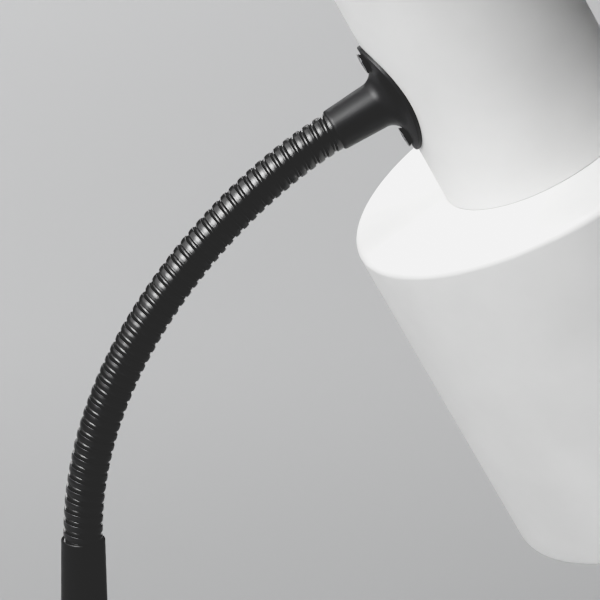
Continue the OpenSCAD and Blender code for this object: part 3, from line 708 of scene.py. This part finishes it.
def recess_wing(place, top):
    """One tapered slot of a cross recess."""
    wide, narrow, half_t, deep = 1.9 * MM, 0.7 * MM, 0.42 * MM, 1.4 * MM
    corners = []
    mouth = (top + 0.5 * MM, wide + 0.3 * MM, half_t * 1.1)
    bottom = (top - deep, narrow, half_t * 0.6)
    for z, reach, thick in (mouth, bottom):
        corners += [(-reach, -thick, z), (reach, -thick, z), (reach, thick, z), (-reach, thick, z)]
    faces = [(0, 1, 2, 3), (7, 6, 5, 4), (0, 4, 5, 1), (1, 5, 6, 2), (2, 6, 7, 3), (3, 7, 4, 0)]
    mesh = bpy.data.meshes.new("wing")
    mesh.from_pydata([tuple(place @ Vector(c)) for c in corners], [], faces)
    bm = bmesh.new()
    bm.from_mesh(mesh)
    bmesh.ops.recalc_face_normals(bm, faces=bm.faces)
    bm.to_mesh(mesh)
    bm.free()
    obj = bpy.data.objects.new("wing", mesh)
    bpy.context.scene.collection.objects.link(obj)
    return obj


build_ferrule()
build_flange_screws()

# ---------- housing and shade ----------


def build_housing():
    """Spun cup with a small top radius and a turned lower rim."""
    edge, wall, top = 3.0 * MM, 1.5 * MM, HOUSING_LEN
    rim = 0.35 * MM
    profile = [(0.0, top)]
    profile += [(HOUSING_R * t, top) for t in (0.3, 0.6, 0.8)]
    profile += arc(HOUSING_R - edge, top - edge, edge, 90, 0, 12)
    profile += [(HOUSING_R, top * t) for t in (0.8, 0.6, 0.4, 0.2)]
    profile += arc(HOUSING_R - rim, rim + 0.05 * MM, rim, 0, -90, 5)
    profile += arc(HOUSING_R - wall + rim, rim + 0.05 * MM, rim, -90, -180, 5)
    profile += [(HOUSING_R - wall, top * t) for t in (0.3, 0.6, 0.9)]
    profile += arc(HOUSING_R - edge, top - edge, edge - wall, 0, 90, 6)
    profile += [(0.0, top - wall)]
    housing = lathe("housing_cup", profile, white_coat, "head", HEAD, 256, False)
    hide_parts("housing")


def build_shade():
    """Spun drum with a flat top, a small shoulder radius and a rolled lower rim."""
    edge, wall = 2.5 * MM, 1.2 * MM
    hole_r, bead = 20.2 * MM, 0.85 * MM
    low = -SHADE_LEN
    profile = [(hole_r, -wall), (hole_r, 0.0), (28 * MM, 0.0), (40 * MM, 0.0), (54 * MM, 0.0)]
    profile += arc(SHADE_R - edge, -edge, edge, 90, 0, 12)
    profile += [(SHADE_R, low * t) for t in (0.2, 0.4, 0.6, 0.8, 0.95)]
    profile += arc(SHADE_R - bead, low + bead, bead, 0, -180, 12)
    profile += [(SHADE_R - 2 * bead, low + 2.2 * bead), (SHADE_R - wall, low + 3.2 * bead)]
    profile += [(SHADE_R - wall, low * t) for t in (0.8, 0.6, 0.4, 0.2)]
    profile += arc(SHADE_R - edge, -edge, edge - wall, 0, 90, 6)
    profile += [(54 * MM, -wall), (40 * MM, -wall), (28 * MM, -wall)]
    shade = lathe("drum_shade", profile, white_coat, "head", HEAD, 320)
    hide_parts("shade")


build_housing()
build_shade()

# ---------- lampholder and bulb ----------


def thread(name, radius, depth, pitch, z_low, z_high, material):
    """A round screw thread on the head's axis: a sine-shaped rib wound on a thin sleeve."""
    around, per_turn = 96, 12
    rows = max(2, round((z_high - z_low) / pitch * per_turn))
    verts, faces = [], []
    for k in range(rows + 1):
        z = z_low + (z_high - z_low) * k / rows
        for i in range(around):
            turn = 2 * math.pi * i / around
            wave = math.cos(2 * math.pi * (z / pitch) - turn)
            fade = min(1.0, (z - z_low) / pitch, (z_high - z) / pitch)
            r = radius - depth / 2 + depth / 2 * wave * max(0.0, fade)
            verts.append(HEAD @ Vector((r * math.cos(turn), r * math.sin(turn), z)))
    for k in range(rows):
        for i in range(around):
            j = (i + 1) % around
            a, b = k * around, (k + 1) * around
            faces.append((a + i, a + j, b + j, b + i))
    inner = len(verts)
    for z in (z_low, z_high):
        for i in range(around):
            turn = 2 * math.pi * i / around
            r = radius - 2.5 * depth
            verts.append(HEAD @ Vector((r * math.cos(turn), r * math.sin(turn), z)))
    for i in range(around):
        j = (i + 1) % around
        faces.append((i, inner + i, inner + j, j))
        top = rows * around
        faces.append((top + i, top + j, inner + around + j, inner + around + i))
        faces.append((inner + i, inner + around + i, inner + around + j, inner + j))
    return add_object(name, verts, faces, material, "head", sharp=60)


def build_bulb():
    """Globe whose shoulder eases into the cap."""
    radius, centre, cap_z = 22.5 * MM, -51.0 * MM, -19.0 * MM
    neck_r = 12.6 * MM
    shoulder = math.asin(0.55)
    profile = [(0.0, centre - radius)]
    steps = 40
    for i in range(1, steps + 1):
        a = -math.pi / 2 + (math.pi / 2 + shoulder) * i / steps
        profile.append((radius * math.cos(a), centre + radius * math.sin(a)))
    r0, z0 = profile[-1]
    for i in range(1, 9):
        t = i / 8
        ease = t * t * (3 - 2 * t)
        profile.append((r0 + (neck_r - r0) * (0.45 * t + 0.55 * ease), z0 + (cap_z - z0) * t))
    profile.append((0.0, cap_z))
    bulb = lathe("bulb_globe", profile, glass, "head", HEAD, 128, False)
    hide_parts("bulb_glass")


def build_bulb_cap():
    """Screw cap: skirt, rolled thread, insulator cone and centre contact."""
    collar = lathe(
        "bulb_cap_skirt",
        [(0.0, -18.9 * MM), (13.0 * MM, -18.9 * MM), (13.1 * MM, -18.6 * MM), (13.1 * MM, -14.5 * MM),
         (12.4 * MM, -13.6 * MM), (12.4 * MM, 3.0 * MM), (0.0, 3.0 * MM)],
        cap_metal, "head", HEAD, 96, False,
    )
    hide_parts("bulb_cap")
    screw = thread(
        "bulb_cap_thread", 13.1 * MM, 1.1 * MM, 3.63 * MM, -13.6 * MM, 3.0 * MM,
        cap_metal,
    )
    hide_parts("bulb_cap")
    tip = lathe(
        "bulb_cap_tip",
        [(0.0, 2.9 * MM), (12.3 * MM, 2.9 * MM), (5.2 * MM, 6.8 * MM), (4.5 * MM, 7.0 * MM),
         (4.3 * MM, 8.2 * MM), (3.4 * MM, 8.65 * MM), (0.0, 8.68 * MM)],
        cap_metal, "head", HEAD, 64, False,
    )
    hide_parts("bulb_cap")


def build_holder():
    """Lampholder's sleeve with its shade flange, and the thread that the shade ring runs on."""
    skirt = lathe(
        "holder_sleeve",
        [(16.5 * MM, -21.4 * MM), (17.1 * MM, -22.0 * MM), (18.6 * MM, -22.0 * MM), (19.0 * MM, -21.6 * MM),
         (19.0 * MM, 0.1 * MM), (23.6 * MM, 0.1 * MM), (24.0 * MM, 0.5 * MM), (24.0 * MM, 2.2 * MM),
         (23.6 * MM, 2.5 * MM), (22.0 * MM, 2.6 * MM), (22.0 * MM, 13.9 * MM),
         (19.9 * MM, 13.9 * MM),
         (19.9 * MM, 22.0 * MM), (16.5 * MM, 22.0 * MM)],
        black_plastic, "head", HEAD, 128,
    )
    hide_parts("holder_skirt")
    ribs = thread(
        "holder_thread", 19.95 * MM, 0.9 * MM, 2.5 * MM, -21.5 * MM, -9.3 * MM,
        black_plastic,
    )
    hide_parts("holder_skirt")


def build_shade_ring():
    """Ring nut with finger notches round its rim."""
    ring = lathe(
        "shade_clamp_ring",
        [(20.0 * MM, -9.2 * MM), (22.6 * MM, -9.2 * MM), (23.0 * MM, -8.8 * MM), (23.0 * MM, -3.4 * MM),
         (25.7 * MM, -3.2 * MM), (26.0 * MM, -2.9 * MM), (26.0 * MM, -1.6 * MM), (25.7 * MM, -1.3 * MM),
         (20.0 * MM, -1.25 * MM)],
        black_plastic, "head", HEAD, 120,
    )
    notches = 12
    for k in range(notches):
        turn = Matrix.Rotation(2 * math.pi * k / notches, 4, "Z")
        place = HEAD @ turn @ Matrix.Translation((24.3 * MM, 0, -7 * MM))
        apply_boolean(ring, cylinder_mesh("notch", place, 1.9 * MM, 3.2 * MM, 24))
    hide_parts("shade_ring")


build_bulb()
build_bulb_cap()
build_holder()
build_shade_ring()

# ---------- switch and inlet ----------


def build_switch():
    """Ring nut round the button, and the button with a slightly dished top."""
    place = Matrix.Translation((SWITCH_X, 0, 0))
    top = BASE_H
    bezel = [(4.75 * MM, top - 3 * MM), (4.75 * MM, top + 1.3 * MM)]
    bezel += arc(5.05 * MM, top + 1.3 * MM, 0.3 * MM, 180, 90, 4)
    bezel += arc(7.6 * MM, top + 0.7 * MM, 0.9 * MM, 90, 0, 8)
    bezel += [(8.5 * MM, top + 0.05 * MM), (6.0 * MM, top + 0.03 * MM), (6.0 * MM, top - 3 * MM)]
    lathe("switch_bezel", bezel, black_plastic, "base", place, 96)
    head_z = BASE_H + 4.4 * MM
    button = [(0.0, top - 2 * MM), (4.4 * MM, top - 2 * MM), (4.4 * MM, head_z - 0.7 * MM)]
    button += arc(3.7 * MM, head_z - 0.7 * MM, 0.7 * MM, 0, 80, 6)
    button += [(2.6 * MM, head_z - 0.12 * MM), (1.4 * MM, head_z - 0.24 * MM)]
    button += [(0.0, head_z - 0.28 * MM)]
    cap = lathe(
        "switch_cap", button, black_plastic, "switch_button", place, 96, False,
    )
    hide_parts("switch_button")


build_switch()

# ---------- materials of the CAD nodes that stay ----------

NODE_MATERIALS = {
    "base_weight": iron,
    "base_plate": black_coat,
    "base_pad": foam,
    "base_screws": zinc,
    "stem_nut": zinc,
    "switch_body": black_plastic,
    "switch_spring": spring_wire,
    "cable_gland": black_plastic,
    "terminal_block": cream_plastic,
    "base_lead": lead_sheath,
    "head_lead": lead_sheath,
    "holder_bracket": zinc,
    "lead_grommet": black_rubber,
    "holder_nipple": zinc,
    "nipple_nuts": zinc,
    "holder_cap": black_plastic,
    "holder_core": ceramic,
    "holder_contact": brass,
}
NODE_MATERIALS.update({
    name: lead_sheath for name in frame["nodes"] if name.startswith("neck_lead_")
})


def paint_nodes():
    for name, material in NODE_MATERIALS.items():
        for slot in frame["nodes"][name].material_slots:
            slot.material = material


paint_nodes()

# ---------- stage and light ----------


def build_stage():
    """Pale paper floor, painted darker near the lamp as a soft shade, that sweeps up into a far round wall.
    """
    material, nodes, links, shader = new_material("stage_grey")
    coords = nodes.new("ShaderNodeTexCoord")
    length = nodes.new("ShaderNodeVectorMath")
    length.operation = "LENGTH"
    links.new(coords.outputs["Object"], length.inputs[0])
    # Painted shade: the floor is darker within 0.3 m of the lamp and reaches its own colour by 0.8 m.
    painted_shade_spread = nodes.new("ShaderNodeMapRange")
    painted_shade_spread.interpolation_type = "SMOOTHSTEP"
    painted_shade_spread.inputs["From Min"].default_value = 0.3
    painted_shade_spread.inputs["From Max"].default_value = 0.8
    links.new(length.outputs["Value"], painted_shade_spread.inputs["Value"])
    fibre = noise_texture(nodes, links, 1.5 * MM, detail=3.0)
    links.new(
        mixed_colour(nodes, links, painted_shade_spread.outputs["Result"], FLOOR_NEAR_PAINTED_SHADE, FLOOR_FAR),
        shader.inputs["Base Color"],
    )
    links.new(ranged(nodes, links, fibre, 0.85, 0.95), shader.inputs["Roughness"])
    shader.inputs["Specular IOR Level"].default_value = 0.1
    flat, bend, height = 6.0, 2.0, 4.0
    profile = [(0.0, 0.0)] + [(r, 0.0) for r in (0.4, 0.8, 1.4, 2.2, 3.2, 4.6, flat)]
    for i in range(1, 17):
        a = math.pi / 2 * i / 16
        profile.append((flat + bend * math.sin(a), bend - bend * math.cos(a)))
    profile.append((flat + bend, height))
    floor = lathe("paper_floor", profile, material, None, segments=96, closed=False)


def add_softbox(name, location, target, size, power, lights=True, reflected=False):
    """Square softbox that lights matte surfaces, shows in highlights, or both."""
    data = bpy.data.lights.new(name, "AREA")
    data.shape = "SQUARE"
    data.size = size
    data.energy = power
    light = bpy.data.objects.new(name, data)
    light.location = location
    direction = Vector(target) - Vector(location)
    light.rotation_mode = "QUATERNION"
    light.rotation_quaternion = direction.to_track_quat("-Z", "Y")
    light.visible_diffuse = lights
    light.visible_glossy = reflected
    bpy.context.scene.collection.objects.link(light)


def softbox_round_head(name, azimuth, elevation, reach, size, power, lights=True, reflected=False):
    """Softbox aimed at the head; azimuth in degrees from the camera's side, minus to the left."""
    turn = AZIMUTH - math.pi / 2 + math.radians(azimuth)
    rise = math.radians(elevation)
    level = math.cos(rise)
    offset = Vector((math.cos(turn) * level, math.sin(turn) * level, math.sin(rise)))
    add_softbox(name, HEAD_AIM + offset * reach, HEAD_AIM, size, power, lights, reflected)


# The nearer colour is painted shade round the lamp; the far colour is the floor's own.
FLOOR_NEAR_PAINTED_SHADE = (0.398, 0.401, 0.405)
FLOOR_FAR = (0.50, 0.503, 0.508)
HEAD_AIM = Vector((0.14, 0.0, 0.30))


def light_scene():
    """Soft key from the front left with its own highlight, a side panel, a fill, floor lights.

    The key lights matte surfaces only, and key_highlight shows only in reflections.
    """
    world = bpy.data.worlds.new("studio")
    world.use_nodes = True
    world.node_tree.nodes["Background"].inputs["Color"].default_value = (1.0, 1.0, 1.0, 1.0)
    world.node_tree.nodes["Background"].inputs["Strength"].default_value = 0.01
    bpy.context.scene.world = world
    softbox_round_head("key", -45, 38, 2.2, 2.2, 56.0)
    softbox_round_head("key_highlight", -48, 38, 2.2, 1.2, 74.0, lights=False, reflected=True)
    softbox_round_head("side_panel", -100, 40, 2.8, 2.6, 29.0, reflected=True)
    softbox_round_head("fill_panel", 35, 40, 2.8, 2.6, 1.6)
    add_softbox("floor_left", (-1.4, 2.2, 1.6), (-0.4, 1.5, 0.0), 1.2, 21.0)
    add_softbox("floor_back", (0.3, 2.8, 1.6), (0.3, 1.5, 0.0), 1.2, 28.0, reflected=True)


# Camera response, from scene light to picture light, both linear: blacks lifted a little, and
# a soft shoulder that keeps the whites below full
RESPONSE = (
    (0.0, 0.021), (0.03, 0.022), (0.06, 0.04), (0.1, 0.088), (0.2, 0.215), (0.35, 0.385),
    (0.5, 0.53), (0.65, 0.665), (0.8, 0.785), (1.0, 0.89),
)


def set_response():
    view = bpy.context.scene.view_settings
    view.view_transform = "Standard"
    view.use_curve_mapping = True
    mapping = view.curve_mapping
    mapping.extend = "HORIZONTAL"
    curve = mapping.curves[3]
    for x, y in RESPONSE[1:-1]:
        curve.points.new(x, y)
    curve.points[0].location = RESPONSE[0]
    curve.points[len(curve.points) - 1].location = RESPONSE[-1]
    for point in curve.points:
        point.handle_type = "AUTO_CLAMPED"
    mapping.update()


build_stage()
light_scene()
set_response()
